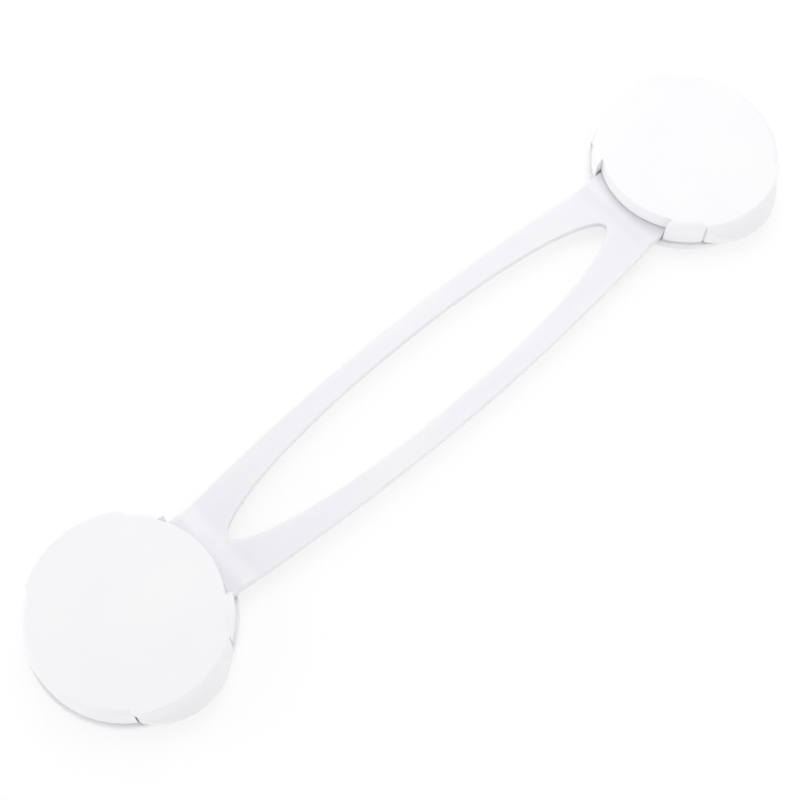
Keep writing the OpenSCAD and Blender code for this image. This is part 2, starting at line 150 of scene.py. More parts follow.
class NodeSheet:
    """A node tree that is filled from Python expressions."""

    def __init__(self, tree: bpy.types.NodeTree) -> None:
        """Keeps the tree."""
        self.tree = tree

    def plug(self, socket: bpy.types.NodeSocket, value: Any) -> None:
        """Links one wire or several to a socket, or sets its plain value.

        Args:
            socket: An input of a node.
            value: A wire, a list of wires or a plain value.
        """
        for wire in value if isinstance(value, list) else [value]:
            if isinstance(wire, Wire):
                self.tree.links.new(wire.socket, socket)
            else:
                socket.default_value = wire

    def feed(self, node: bpy.types.Node, sockets: dict[str | int, Any]) -> None:
        """Gives plain values or wires to the inputs of a node, by name or number."""
        for key, value in sockets.items():
            self.plug(node.inputs[key], value)

    def node(
        self,
        kind: str,
        settings: dict[str, Any] | None = None,
        sockets: dict[str | int, Any] | None = None,
    ) -> bpy.types.Node:
        """Adds a node.

        Args:
            kind: The node's type.
            settings: Properties of the node, which are set first.
            sockets: Plain values or wires for its inputs, by name or number.

        Returns:
            The new node.
        """
        made = self.tree.nodes.new(kind)
        for name, value in (settings or {}).items():
            setattr(made, name, value)
        self.feed(made, sockets or {})
        return made

    def out(
        self,
        kind: str,
        settings: dict[str, Any] | None = None,
        sockets: dict[str | int, Any] | None = None,
        output: str | int = 0,
    ) -> Wire:
        """Adds a node and gives one of its outputs.

        Args:
            kind: The node's type.
            settings: Properties of the node, which are set first.
            sockets: Plain values or wires for its inputs, by name or number.
            output: The output's name or number.

        Returns:
            The output as a wire.
        """
        return Wire(self, self.node(kind, settings, sockets).outputs[output])

    def math(self, operation: str, *values: Value) -> Wire:
        """Adds a Math node and gives its result."""
        return self.out("ShaderNodeMath", {"operation": operation}, dict(enumerate(values)))

    def clamp(self, value: Wire) -> Wire:
        """Limits a value to the range from 0 to 1."""
        return self.out("ShaderNodeClamp", sockets={"Value": value})

    def vector(self, x: Value, y: Value, z: Value) -> Wire:
        """Joins three values into a vector."""
        return self.out("ShaderNodeCombineXYZ", sockets={"X": x, "Y": y, "Z": z})

    def split(self, vector: Wire) -> tuple[Wire, ...]:
        """Parts a vector into its X, Y and Z."""
        parts = self.node("ShaderNodeSeparateXYZ", sockets={0: vector})
        return tuple(Wire(self, parts.outputs[axis]) for axis in "XYZ")

    def mix_colour(self, factor: Value, first: Colour, second: Colour) -> Wire:
        """Mixes two colours.

        Args:
            factor: Share of the second colour.
            first: Colour at a share of 0.
            second: Colour at a share of 1.

        Returns:
            The mixed colour.
        """
        colours = {0: factor, 6: (*first, 1.0), 7: (*second, 1.0)}
        return self.out("ShaderNodeMix", {"data_type": "RGBA"}, colours, output=2)

    def object_place(self) -> Wire:
        """Place on the surface of a piece, in metres."""
        return self.out("ShaderNodeTexCoord", output="Object")

    def noise(self, place: Wire, size: Size3, detail: float = 2.0) -> Wire:
        """Adds soft noise whose lumps have a real size.

        Args:
            place: Coordinates in metres.
            size: Size of the lumps along each axis.
            detail: Octaves of finer noise in the lumps.

        Returns:
            The noise, from 0 to 1 with its mean near one half.
        """
        scaled = self.out(
            "ShaderNodeMapping",
            {"vector_type": "POINT"},
            {"Vector": place, "Scale": tuple(1.0 / length for length in size)},
        )
        return self.out("ShaderNodeTexNoise", sockets={"Vector": scaled, "Scale": 1.0, "Detail": detail})

    def bump(self, height: Wire, depth: float, under: Wire | None = None) -> Wire:
        """Adds a fine relief to a surface.

        Args:
            height: The relief, from 0 to 1.
            depth: Its real depth.
            under: Normal of the surface that the relief lies on, or None for the plain surface.

        Returns:
            The normal of the surface with its relief.
        """
        sockets = {"Strength": 1.0, "Distance": depth, "Height": height}
        if under is not None:
            sockets["Normal"] = under
        return self.out("ShaderNodeBump", sockets=sockets)

    def position(self) -> Wire:
        """Place of each point of a geometry."""
        return self.out("GeometryNodeInputPosition")

    def unit_rod(self, sides: int, rings: int) -> Wire:
        """Adds a closed cylinder of radius 1 and height 1 that is centred on the origin."""
        sockets = {"Vertices": sides, "Side Segments": rings, "Radius": 1.0, "Depth": 1.0}
        return self.out("GeometryNodeMeshCylinder", {"fill_type": "NGON"}, sockets)

    def moved(self, shape: Wire, place: Wire, chosen: Wire | bool = True) -> Wire:
        """Puts the chosen points of a shape at a new place."""
        sockets = {"Geometry": shape, "Selection": chosen, "Position": place}
        return self.out("GeometryNodeSetPosition", sockets=sockets)

    def joined(self, shapes: list[Wire]) -> Wire:
        """Joins shapes into one."""
        return self.out("GeometryNodeJoinGeometry", sockets={"Geometry": shapes})

    def welded(self, shape: Wire) -> Wire:
        """Merges the points of a shape that share a place."""
        return self.out("GeometryNodeMergeByDistance", sockets={"Geometry": shape, "Distance": WELD})

    def flipped(self, shape: Wire) -> Wire:
        """Turns the faces of a shape round."""
        return self.out("GeometryNodeFlipFaces", sockets={"Mesh": shape})

    def cut(self, solid: Wire, tools: list[Wire]) -> Wire:
        """Cuts other solids out of a solid."""
        settings = {"operation": "DIFFERENCE", "solver": "EXACT"}
        return self.out("GeometryNodeMeshBoolean", settings, {"Mesh 1": solid, "Mesh 2": tools})


@dataclass(frozen=True)
class Finish:
    """A finish, which becomes one material that all its pieces share."""

    name: str
    colour: Colour

    def material(self) -> bpy.types.Material:
        """Builds the material once and gives it again after that.

        Returns:
            The material of the finish.
        """
        made = bpy.data.materials.get(self.name)
        if made is None:
            made = bpy.data.materials.new(self.name)
            made.use_nodes = True
            self.dress(NodeSheet(made.node_tree), made.node_tree.nodes["Principled BSDF"])
        return made

    def dress(self, sheet: NodeSheet, shader: bpy.types.Node) -> None:
        """Gives the main shader the plain colour."""
        sheet.feed(shader, {"Base Color": (*self.colour, 1.0)})


@dataclass(frozen=True)
class MouldedPlastic(Finish):
    """Satin moulded plastic, with the grain of the mould, slow waves of shrinkage and clouded pigment."""

    cloud_colour: Colour
    roughness: float
    cloud: Size3 = (0.016, 0.016, 0.016)
    cloud_contrast: float = 2.2
    smear: Size3 = (0.006, 0.006, 0.006)
    smear_gloss: float = 0.10
    grain: float = 0.00022
    grain_depth: float = 0.000006
    grain_tint: float = 0.5
    grain_gloss: float = 0.05
    wave: float = 0.007
    wave_depth: float = 0.000018
    refraction: float = 1.49
    bleed: float = 0.0
    bleed_reach: float = 0.0015

    def dress(self, sheet: NodeSheet, shader: bpy.types.Node) -> None:
        """Gives the main shader the clouded colour, the uneven gloss and the relief.

        Args:
            sheet: The material's node sheet.
            shader: Its main shader.
        """
        place = sheet.object_place()
        cloud = sheet.noise(place, self.cloud, detail=3.0) - NOISE_MEAN
        smear = sheet.noise(place, self.smear, detail=4.0) - NOISE_MEAN
        grain_height = sheet.noise(place, (self.grain,) * 3)
        grain = grain_height - NOISE_MEAN
        shrunk = sheet.bump(sheet.noise(place, (self.wave,) * 3, detail=1.0), self.wave_depth)
        pigment = sheet.clamp(0.5 + self.cloud_contrast * cloud + self.grain_tint * grain)
        sockets = {
            "Base Color": sheet.mix_colour(pigment, self.colour, self.cloud_colour),
            "Roughness": self.roughness + self.smear_gloss * smear + self.grain_gloss * grain,
            "Normal": sheet.bump(grain_height, self.grain_depth, shrunk),
            "IOR": self.refraction,
            "Subsurface Weight": self.bleed,
            "Subsurface Radius": (1.0, 1.0, 1.0),
            "Subsurface Scale": self.bleed_reach,
        }
        sheet.feed(shader, sockets)


@dataclass(frozen=True)
class FoamTape(Finish):
    """Closed-cell foam, matt, with open pores on its cut edge and painted shade in the pores."""

    pore_shade_colour: Colour
    pore: float = 0.00025
    pore_depth: float = 0.00008
    pore_contrast: float = 1.6
    pore_shade_weight: float = 0.7
    mottle: float = 0.002
    mottle_tint: float = 0.6
    roughness: float = 0.80
    mottle_gloss: float = 0.15

    def dress(self, sheet: NodeSheet, shader: bpy.types.Node) -> None:
        """Gives the main shader the mottled colour with painted shade in the pores, the matt surface and the
        pores' relief.

        Args:
            sheet: The material's node sheet.
            shader: Its main shader.
        """
        place = sheet.object_place()
        cell = sheet.out(
            "ShaderNodeTexVoronoi",
            {"feature": "F1"},
            {"Vector": place, "Scale": 1.0 / self.pore, "Randomness": 1.0},
        )
        mottle = sheet.noise(place, (self.mottle,) * 3, detail=3.0)
        # Painted shade: the colour darkens towards the pore shade colour at the middle of each pore; the
        # mottle is random tone.
        wall = sheet.clamp(self.pore_contrast * cell)
        pore_shade_and_mottle = sheet.clamp(self.pore_shade_weight * wall + self.mottle_tint * (mottle - NOISE_MEAN))
        sockets = {
            "Base Color": sheet.mix_colour(pore_shade_and_mottle, self.pore_shade_colour, self.colour),
            "Roughness": self.roughness + self.mottle_gloss * mottle,
            "Normal": sheet.bump(wall, self.pore_depth),
        }
        sheet.feed(shader, sockets)


@dataclass(frozen=True)
class PlatedSteel(Finish):
    """Zinc-plated steel with a fine turned grain and dull stains."""

    stain_colour: Colour
    roughness: float = 0.32
    turned: Size3 = (0.0012, 0.0012, 0.00006)
    turned_depth: float = 0.000008
    turned_gloss: float = 0.1
    stain: float = 0.0009
    stain_start: float = 0.45
    stain_contrast: float = 2.5
    stain_gloss: float = 0.25

    def dress(self, sheet: NodeSheet, shader: bpy.types.Node) -> None:
        """Gives the main shader the stained metal and its turned grain.

        Args:
            sheet: The material's node sheet.
            shader: Its main shader.
        """
        place = sheet.object_place()
        turned = sheet.noise(place, self.turned)
        stain = sheet.noise(place, (self.stain,) * 3, detail=4.0)
        dull = sheet.clamp(self.stain_contrast * (stain - self.stain_start))
        gloss = self.stain_gloss * dull + self.turned_gloss * (turned - NOISE_MEAN)
        sockets = {
            "Base Color": sheet.mix_colour(dull, self.colour, self.stain_colour),
            "Roughness": self.roughness + gloss,
            "Metallic": 1.0,
            "Normal": sheet.bump(turned, self.turned_depth),
        }
        sheet.feed(shader, sockets)


CAP_PLASTIC = MouldedPlastic("cap_white", (0.930, 0.930, 0.942), (0.905, 0.905, 0.925), 0.46)
TAB_PLASTIC = MouldedPlastic("tab_white", (0.922, 0.922, 0.934), (0.898, 0.898, 0.916), 0.44)
BASE_PLASTIC = MouldedPlastic("base_white", (0.900, 0.900, 0.912), (0.872, 0.872, 0.890), 0.50)
INNER_PLASTIC = MouldedPlastic("inner_grey_white", (0.845, 0.845, 0.858), (0.810, 0.810, 0.828), 0.55)
SPRING_PLASTIC = MouldedPlastic(
    "natural_acetal", (0.900, 0.892, 0.850), (0.880, 0.868, 0.815), 0.36, bleed=0.15
)
STRAP_PLASTIC = MouldedPlastic(
    "strap_translucent",
    (0.856, 0.854, 0.882),
    (0.826, 0.825, 0.860),
    0.40,
    cloud=(0.030, 0.006, 0.010),
    smear=(0.012, 0.003, 0.006),
    bleed=0.35,
)
# The second colour is the painted shade at the middle of the pores.
PAD_FOAM = FoamTape("pad_foam", (0.800, 0.810, 0.820), (0.560, 0.570, 0.585))
SCREW_STEEL = PlatedSteel("screw_zinc", (0.700, 0.705, 0.720), (0.520, 0.520, 0.530))


def add_piece(name: str, mesh: bpy.types.Mesh, material: bpy.types.Material) -> bpy.types.Object:
    """Puts a mesh into the scene as an object at the origin.

    Args:
        name: The object's name.
        mesh: Its mesh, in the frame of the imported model.
        material: The one material of the mesh.

    Returns:
        The new object.
    """
    mesh.materials.clear()
    mesh.materials.append(material)
    piece = bpy.data.objects.new(name, mesh)
    bpy.context.scene.collection.objects.link(piece)
    return piece


def settle(piece: bpy.types.Object) -> None:
    """Turns a piece with modifiers into a plain mesh with the same shape.

    Args:
        piece: The piece, which loses its modifiers.
    """
    graph = bpy.context.evaluated_depsgraph_get()
    mesh = bpy.data.meshes.new_from_object(piece.evaluated_get(graph), depsgraph=graph)
    piece.modifiers.clear()
    old = piece.data
    piece.data = mesh
    mesh.name = piece.name
    bpy.data.meshes.remove(old)


def even_normals(piece: bpy.types.Object) -> None:
    """Shades a piece smooth with flat faces that stay flat.

    Args:
        piece: The piece, whose sharp edges are marked already.
    """
    piece.data.shade_smooth()
    weighted = piece.modifiers.new("even_normals", "WEIGHTED_NORMAL")
    weighted.mode = "FACE_AREA"
    weighted.weight = FLAT_FACE_WEIGHT
    weighted.keep_sharp = True
    settle(piece)


def adopt(piece: bpy.types.Object, node: str, rides: bool = True) -> bpy.types.Object:
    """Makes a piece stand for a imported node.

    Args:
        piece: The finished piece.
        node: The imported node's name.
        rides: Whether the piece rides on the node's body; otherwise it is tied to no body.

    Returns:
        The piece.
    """
    if rides:
        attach(piece, BODY_OF[node])
    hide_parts(node)
    LOG.info("%s stands for %s on %s, %d faces", piece.name, node, BODY_OF[node], len(piece.data.polygons))
    return piece


def distance_to_edge(spot: Vector, edge: bmesh.types.BMEdge) -> float:
    """Measures from a spot to the nearest point of an edge.

    Args:
        spot: Any place.
        edge: An edge of a mesh.

    Returns:
        The distance.
    """
    first, last = (vertex.co for vertex in edge.verts)
    _, share = intersect_point_line(spot, first, last)
    return (first.lerp(last, min(max(share, 0.0), 1.0)) - spot).length


@dataclass
class Moulding:
    """A rigid moulding that keeps its packed form and gains rounded edges."""

    node: str
    finish: MouldedPlastic
    edge: float
    flat_angle: float = math.radians(0.6)
    sharp_angle: float = math.radians(55.0)
    crease_angle: float = math.radians(50.0)
    fold_angle: float = math.radians(100.0)
    fold_reach: float = 3.0
    tries: int = 5
    loose_share: float = 0.35

    def rounded_mesh(self) -> bpy.types.Mesh:
        """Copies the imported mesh, welds it, joins its flat faces and rounds its sharp edges.

        An edge whose rounding would fold stays sharp, and is shaded so.

        Returns:
            The new mesh.
        """
        plain = bmesh.new()
        plain.from_mesh(frame["nodes"][self.node].data)
        bmesh.ops.remove_doubles(plain, verts=plain.verts, dist=WELD)
        surface = BVHTree.FromBMesh(plain)
        bmesh.ops.dissolve_limit(
            plain, angle_limit=self.flat_angle, verts=plain.verts, edges=plain.edges
        )
        spoilt: list[Vector] = []
        for _ in range(self.tries):
            shape = plain.copy()
            self.round_edges(shape, spoilt)
            self.put_back(shape, surface)
            folds = self.folds(shape, surface)
            if not folds:
                break
            spoilt += folds
        bmesh.ops.remove_doubles(shape, verts=shape.verts, dist=WELD)
        for edge in shape.edges:
            edge.smooth = edge.calc_face_angle(0.0) < self.crease_angle
        mesh = bpy.data.meshes.new(self.node + "_mesh")
        shape.to_mesh(mesh)
        LOG.info("%s keeps its edges sharp at %d spots, %d folds left", self.node, len(spoilt), len(folds))
        shape.free()
        plain.free()
        return mesh

    def round_edges(self, shape: bmesh.types.BMesh, spoilt: list[Vector]) -> None:
        """Rounds the sharp edges of a mesh, except near spots where that has failed.

        Args:
            shape: The mesh.
            spoilt: Spots where a rounding has folded.
        """
        reach = self.fold_reach * self.edge
        sharp = [
            edge
            for edge in shape.edges
            if edge.calc_face_angle(0.0) > self.sharp_angle
            and all(distance_to_edge(spot, edge) > reach for spot in spoilt)
        ]
        bmesh.ops.bevel(
            shape,
            geom=sharp,
            offset=self.edge,
            offset_type="OFFSET",
            segments=EDGE_STEPS,
            profile=0.5,
            affect="EDGES",
            clamp_overlap=False,
            miter_outer="ARC",
        )

    def put_back(self, shape: bmesh.types.BMesh, surface: BVHTree) -> None:
        """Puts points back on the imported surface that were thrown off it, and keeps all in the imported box.

        Args:
            shape: The rounded mesh.
            surface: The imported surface.
        """
        low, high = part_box(self.node)
        for vertex in shape.verts:
            nearest, _, _, distance = surface.find_nearest(vertex.co)
            if distance > self.loose_share * self.edge:
                vertex.co = nearest
            vertex.co = [min(max(value, least), most) for value, least, most in zip(vertex.co, low, high)]

    def folds(self, shape: bmesh.types.BMesh, surface: BVHTree) -> list[Vector]:
        """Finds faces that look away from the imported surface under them.

        Args:
            shape: The rounded mesh.
            surface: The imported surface.

        Returns:
            The middles of those faces.
        """
        shape.normal_update()
        middles = []
        for face in shape.faces:
            middle = face.calc_center_median()
            _, normal, _, _ = surface.find_nearest(middle)
            if face.calc_area() > WELD * WELD and face.normal.angle(normal, 0.0) > self.fold_angle:
                middles.append(middle)
        return middles

    def build(self) -> bpy.types.Object:
        """Makes the moulding with its finish, before it is tied to a body.

        Returns:
            The new piece.
        """
        piece = add_piece(self.node + "_moulding", self.rounded_mesh(), self.finish.material())
        even_normals(piece)
        return piece


class GrownPiece:
    """A piece that a geometry node tree grows, with named inputs for its sizes."""

    def __init__(self, name: str, finish: Finish, seed_mesh: bpy.types.Mesh | None = None) -> None:
        """Starts the tree and the object.

        Args:
            name: Name of the tree and of the piece.
            finish: The finish whose material the tree sets.
            seed_mesh: Mesh that the tree starts from, or None where it starts from nothing.
        """
        self.material = finish.material()
        self.tree = bpy.data.node_groups.new(name + "_tree", "GeometryNodeTree")
        self.sheet = NodeSheet(self.tree)
        self.values: dict[str, float] = {}
        self.tree.interface.new_socket("Seed", in_out="INPUT", socket_type="NodeSocketGeometry")
        self.tree.interface.new_socket("Piece", in_out="OUTPUT", socket_type="NodeSocketGeometry")
        self.source = self.sheet.node("NodeGroupInput")
        mesh = seed_mesh or bpy.data.meshes.new(name)
        self.piece = add_piece(name, mesh, self.material)

    def size(self, name: str, value: float) -> Wire:
        """Adds a named input for a size.

        Args:
            name: The input's name.
            value: The size that this piece has.

        Returns:
            The input as a wire.
        """
        socket = self.tree.interface.new_socket(name, in_out="INPUT", socket_type="NodeSocketFloat")
        self.values[socket.identifier] = value
        return Wire(self.sheet, self.source.outputs[name])

    def seed(self) -> Wire:
        """The mesh that the tree starts from."""
        return Wire(self.sheet, self.source.outputs["Seed"])

    def grow(self, shape: Wire, bevel: float = 0.0) -> bpy.types.Object:
        """Ends the tree, sets its inputs and turns the result into a plain mesh.

        Args:
            shape: The geometry that the tree has made.
            bevel: Radius of the rounding on edges that carry a bevel weight.

        Returns:
            The finished piece.
        """
        real = self.sheet.out("GeometryNodeRealizeInstances", sockets={"Geometry": shape})
        dressed = self.sheet.out(
            "GeometryNodeSetMaterial", sockets={"Geometry": real, "Material": self.material}
        )
        self.sheet.node("NodeGroupOutput", sockets={"Piece": dressed})
        grown = self.piece.modifiers.new("grown", "NODES")
        grown.node_group = self.tree
        for identifier, value in self.values.items():
            grown[identifier] = value
        if bevel:
            rounded = self.piece.modifiers.new("rounded", "BEVEL")
            rounded.limit_method = "WEIGHT"
            rounded.width = bevel
            rounded.segments = EDGE_STEPS
            rounded.use_clamp_overlap = False
        settle(self.piece)
        even_normals(self.piece)
        return self.piece


@dataclass
class Strap:
    """The flexible strap: two bowed arms round an almond opening, and a block and a tongue at each end."""

    end_width: float = 0.021
    thickness: float = 0.0016
    opening_length: float = 0.111
    opening_width: float = 0.0178
    opening_side_power: float = 0.935
    opening_tip_power: float = 1.12
    tip_spread: float = 0.75
    bow_half_length: float = 0.060
    ramp_foot: float = 0.0567
    ramp_top: float = 0.0597
    block_end: float = 0.06462
    block_slope: float = 0.0006
    tongue_thickness: float = 0.0014
    anchor_x: float = 0.06762
    anchor_y: float = 0.00559
    anchor_radius: float = 0.003
    anchor_sides: int = 40
    edge: float = 0.00035
    edge_angle: float = math.radians(72.0)
    bend_half_length: float = 0.020
    arm_cells: int = 56
    end_cells: tuple[int, ...] = (1, 3, 4, 1, 4)
    cross_cells: int = 4

    def build(self) -> bpy.types.Object:
        """Grows the strap and leaves it tied to no body.

        Returns:
            The finished strap.
        """
        low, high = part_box("strap")
        grown = GrownPiece("strap_band", STRAP_PLASTIC)
        ramp = (grown.size("Ramp foot", self.ramp_foot), grown.size("Ramp top", self.ramp_top))
        block_end = grown.size("Block end", self.block_end)
        step = (block_end - grown.size("Slope under the block", self.block_slope), block_end)
        plan = self.plan(grown, [*ramp, *step], high - low)
        solid = self.thicken(grown, plan, ramp, step, low.z, high.z)
        solid = grown.sheet.cut(solid, self.anchor_pins(grown.sheet, high.z))
        piece = grown.grow(self.mark_edges(grown.sheet, solid), self.edge)
        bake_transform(piece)
        return adopt(piece, "strap", rides=False)

    def plan(self, grown: GrownPiece, bends: list[Wire], extent: Vector) -> Wire:
        """Lays the strap out flat, from patches of one quarter that are mirrored.

        Args:
            grown: The piece that the plan belongs to.
            bends: Distances from the middle at which the top or the underside starts or ends a slope.
            extent: Length, width and height of the strap.

        Returns:
            The flat plan.
        """
        sheet = grown.sheet
        half_opening = grown.size("Half length of the opening", self.opening_length / 2)
        half_gap = grown.size("Half width of the opening", self.opening_width / 2)
        end_half = grown.size("Half width at the heads", self.end_width / 2)
        mid_half = grown.size("Half width in the middle", extent.y / 2)
        bow_half = grown.size("Half length of the bow", self.bow_half_length)
        tongue_end = grown.size("Half length of the strap", extent.x / 2)
        swell = mid_half - end_half
        arc_radius = (bow_half * bow_half + swell * swell) / (2.0 * swell)

        def outer_edge(x: Wire) -> Wire:
            """Half width of the strap at a distance from its middle."""
            arc = mid_half - arc_radius + sheet.math("SQRT", arc_radius * arc_radius - x * x)
            return sheet.math("MAXIMUM", arc, end_half)

        def opening_edge(u: Wire) -> tuple[Wire, Value]:
            """Follows the edge of the opening from its middle to its tip, with wider steps at the tip.

            Args:
                u: Share of the way.

            Returns:
                The X and Y of the edge.
            """
            turn =(1.0 - abs(1.0 - u) ** self.tip_spread) * (math.pi / 2)
            x = half_opening * sheet.math("SINE", turn) ** self.opening_side_power
            return x, half_gap * abs(sheet.math("COSINE", turn)) ** self.opening_tip_power

        def patch(cells: int, inner_edge: Callable[[Wire], tuple[Wire, Value]]) -> Wire:
            """A patch between an inner edge and the outer edge.

            Args:
                cells: Number of cells along the strap.
                inner_edge: Gives the X and Y of the inner edge at a share of the way along the patch.

            Returns:
                The flat patch.
            """
            counts = {"Vertices X": cells + 1, "Vertices Y": self.cross_cells + 1}
            grid = sheet.out("GeometryNodeMeshGrid", sockets={"Size X": 1.0, "Size Y": 1.0, **counts})
            along, across, _ = sheet.split(sheet.position())
            x, near = inner_edge(along + 0.5)
            y = near + (across + 0.5) * (outer_edge(x) - near)
            return sheet.moved(grid, sheet.vector(x, y, 0.0))

        patches = [patch(self.arm_cells, opening_edge)]
        stations = [half_opening, *bends, tongue_end]
        for start, stop, cells in zip(stations, stations[1:], self.end_cells):
            patches.append(patch(cells, lambda u, start=start, stop=stop: (start + u * (stop - start), 0.0)))
        plan = sheet.joined(patches)
        for mirror in ((-1.0, 1.0, 1.0), (1.0, -1.0, 1.0)):
            twin = sheet.out("GeometryNodeTransform", sockets={"Geometry": plan, "Scale": mirror})
            plan = sheet.joined([plan, sheet.flipped(twin)])
        return sheet.welded(plan)

    def thicken(
        self, grown: GrownPiece, plan: Wire, ramp: Span, step: Span, low_z: float, high_z: float
    ) -> Wire:
        """Gives the flat plan a top, an underside and walls.

        Args:
            grown: The piece that the plan belongs to.
            plan: The flat plan.
            ramp: Where the top climbs from the band to the tongue, by the distance from the middle.
            step: Where the underside climbs from the block to the tongue.
            low_z: Underside of the strap.
            high_z: Top of the strap.

        Returns:
            The closed solid.
        """
        sheet = grown.sheet
        band_low = grown.size("Underside of the band", low_z)
        band_high = grown.size("Top of the band", low_z + self.thickness)
        tongue_low = grown.size("Underside of the tongue", high_z - self.tongue_thickness)
        tongue_high = grown.size("Top of the tongue", high_z)
        x, y, _ = sheet.split(sheet.position())

        def sloped(first: Wire, last: Wire, span: Span) -> Wire:
            """Place of each point on a surface that climbs from one level to another over a span."""
            climbed = sheet.clamp((abs(x) - span[0]) / (span[1] - span[0]))
            return sheet.vector(x, y, first + (last - first) * climbed)

        upper = sloped(band_high, tongue_high, ramp)
        lower = sloped(band_low, tongue_low, step)
        faces_at_edge = sheet.out("GeometryNodeInputMeshEdgeNeighbors")
        outline = sheet.math("LESS_THAN", faces_at_edge, 2.0)
        wall = sheet.node(
            "GeometryNodeExtrudeMesh",
            {"mode": "EDGES"},
            {"Mesh": sheet.moved(plan, upper), "Selection": outline, "Offset Scale": 0.0},
        )
        skin = sheet.moved(Wire(sheet, wall.outputs["Mesh"]), lower, Wire(sheet, wall.outputs["Top"]))
        under = sheet.flipped(sheet.moved(plan, lower))
        return sheet.welded(sheet.joined([skin, under]))

    def anchor_pins(self, sheet: NodeSheet, high_z: float) -> list[Wire]:
        """Makes the pins that cut the anchor holes of the two tongues.

        Args:
            sheet: The node sheet of the strap.
            high_z: Top of the strap.

        Returns:
            The four pins.
        """
        pin = sheet.out(
            "GeometryNodeMeshCylinder",
            sockets={"Vertices": self.anchor_sides, "Radius": self.anchor_radius, "Depth": high_z},
        )
        places = [(sx * self.anchor_x, sy * self.anchor_y, high_z) for sx in (-1, 1) for sy in (-1, 1)]
        return [
            sheet.out("GeometryNodeTransform", sockets={"Geometry": pin, "Translation": place})
            for place in places
        ]

    def mark_edges(self, sheet: NodeSheet, solid: Wire) -> Wire:
        """Gives a bevel weight to the sharp edges.

        Args:
            sheet: The node sheet of the strap.
            solid: The finished solid.

        Returns:
            The solid with its weights.
        """
        crease = sheet.out("GeometryNodeInputMeshEdgeAngle", output="Unsigned Angle")
        sharp = sheet.math("GREATER_THAN", crease, self.edge_angle)
        return sheet.out(
            "GeometryNodeStoreNamedAttribute",
            {"data_type": "FLOAT", "domain": "EDGE"},
            {"Geometry": solid, "Name": "bevel_weight_edge", "Value": sharp},
        )


@dataclass
class ScrewSet:
    """Four self-tapping screws with pan heads, cross recesses and threads, on one head."""

    end: End
    head_diameter: float = 0.0038
    head_height: float = 0.0012
    crown_share: float = 0.5
    crown_top_share: float = 0.80
    shank_diameter: float = 0.0020
    thread_pitch: float = 0.00070
    thread_depth: float = 0.00022
    crest_rise: float = 1.6
    flank_slope: float = 5.12
    point_length: float = 0.0007
    point_share: float = 0.35
    recess_width: float = 0.0005
    recess_length: float = 0.0022
    recess_depth: float = 0.0005
    sides: int = 28
    rings: int = 84

    def places(self, low: Vector, high: Vector) -> bpy.types.Mesh:
        """Makes a mesh with one point at the foot of each screw.

        Args:
            low: Lowest corner of the box round all four screws.
            high: Highest corner of that box.

        Returns:
            The mesh with four points.
        """
        middle = (low + high) / 2
        reach_x = (high.x - low.x - self.head_diameter) / 2
        reach_y = (high.y - low.y - self.head_diameter) / 2
        points = [
            (middle.x + sx * reach_x, middle.y + sy * reach_y, low.z) for sx in (-1, 1) for sy in (-1, 1)
        ]
        mesh = bpy.data.meshes.new("screw_places")
        mesh.from_pydata(points, [], [])
        return mesh

    def screw(self, grown: GrownPiece, full_length: float) -> Wire:
        """Makes one screw, head down, from a rod whose rings are drawn in and out.

        Args:
            grown: The piece that the screw belongs to.
            full_length: Length of the screw with its head.

        Returns:
            The screw without its recess.
        """
        sheet = grown.sheet
        length = grown.size("Length", full_length)
        head_radius = grown.size("Head radius", self.head_diameter / 2)
        head_height = grown.size("Head height", self.head_height)
        crest_radius = grown.size("Crest radius", self.shank_diameter / 2)
        pitch = grown.size("Pitch", self.thread_pitch)
        depth = grown.size("Thread depth", self.thread_depth)
        point = grown.size("Point length", self.point_length)
        rod = sheet.unit_rod(self.sides, self.rings)
        x, y, rise = sheet.split(sheet.position())
        z = (rise + 0.5) * length
        turn = sheet.math("ARCTAN2", y, x) / (2.0 * math.pi)
        along = sheet.math("FRACT", z / pitch - turn)
        crest = sheet.clamp(self.crest_rise - self.flank_slope * abs(along - 0.5))
        taper = self.point_share + (1.0 - self.point_share) * sheet.clamp((length - z) / point)
        shank = (crest_radius - depth + depth * crest) * taper
        crown = sheet.clamp(z / (head_height * self.crown_share))
        dome = sheet.math("SQRT", crown * (2.0 - crown))
        pan = head_radius * (self.crown_top_share + (1.0 - self.crown_top_share) * dome)
        in_head = sheet.math("LESS_THAN", z, head_height)
        radius = in_head * pan + (1.0 - in_head) * shank
        return sheet.moved(rod, sheet.vector(x * radius, y * radius, z))

    def build(self) -> bpy.types.Object:
        """Grows one screw, sets a copy on each place and ties the set to its head.

        Returns:
            The finished set.
        """
        node = f"retainer_screws_{self.end.value}"
        low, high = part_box(node)
        grown = GrownPiece(f"screw_set_{self.end.value}", SCREW_STEEL, self.places(low, high))
        sheet = grown.sheet
        bars = ((self.recess_length, self.recess_width), (self.recess_width, self.recess_length))
        slots = [
            sheet.out("GeometryNodeMeshCube", sockets={"Size": (*bar, 2.0 * self.recess_depth)})
            for bar in bars
        ]
        screw = sheet.cut(self.screw(grown, high.z - low.z), slots)
        screws = sheet.out(
            "GeometryNodeInstanceOnPoints", sockets={"Points": grown.seed(), "Instance": screw}
        )
        return adopt(grown.grow(screws), node)


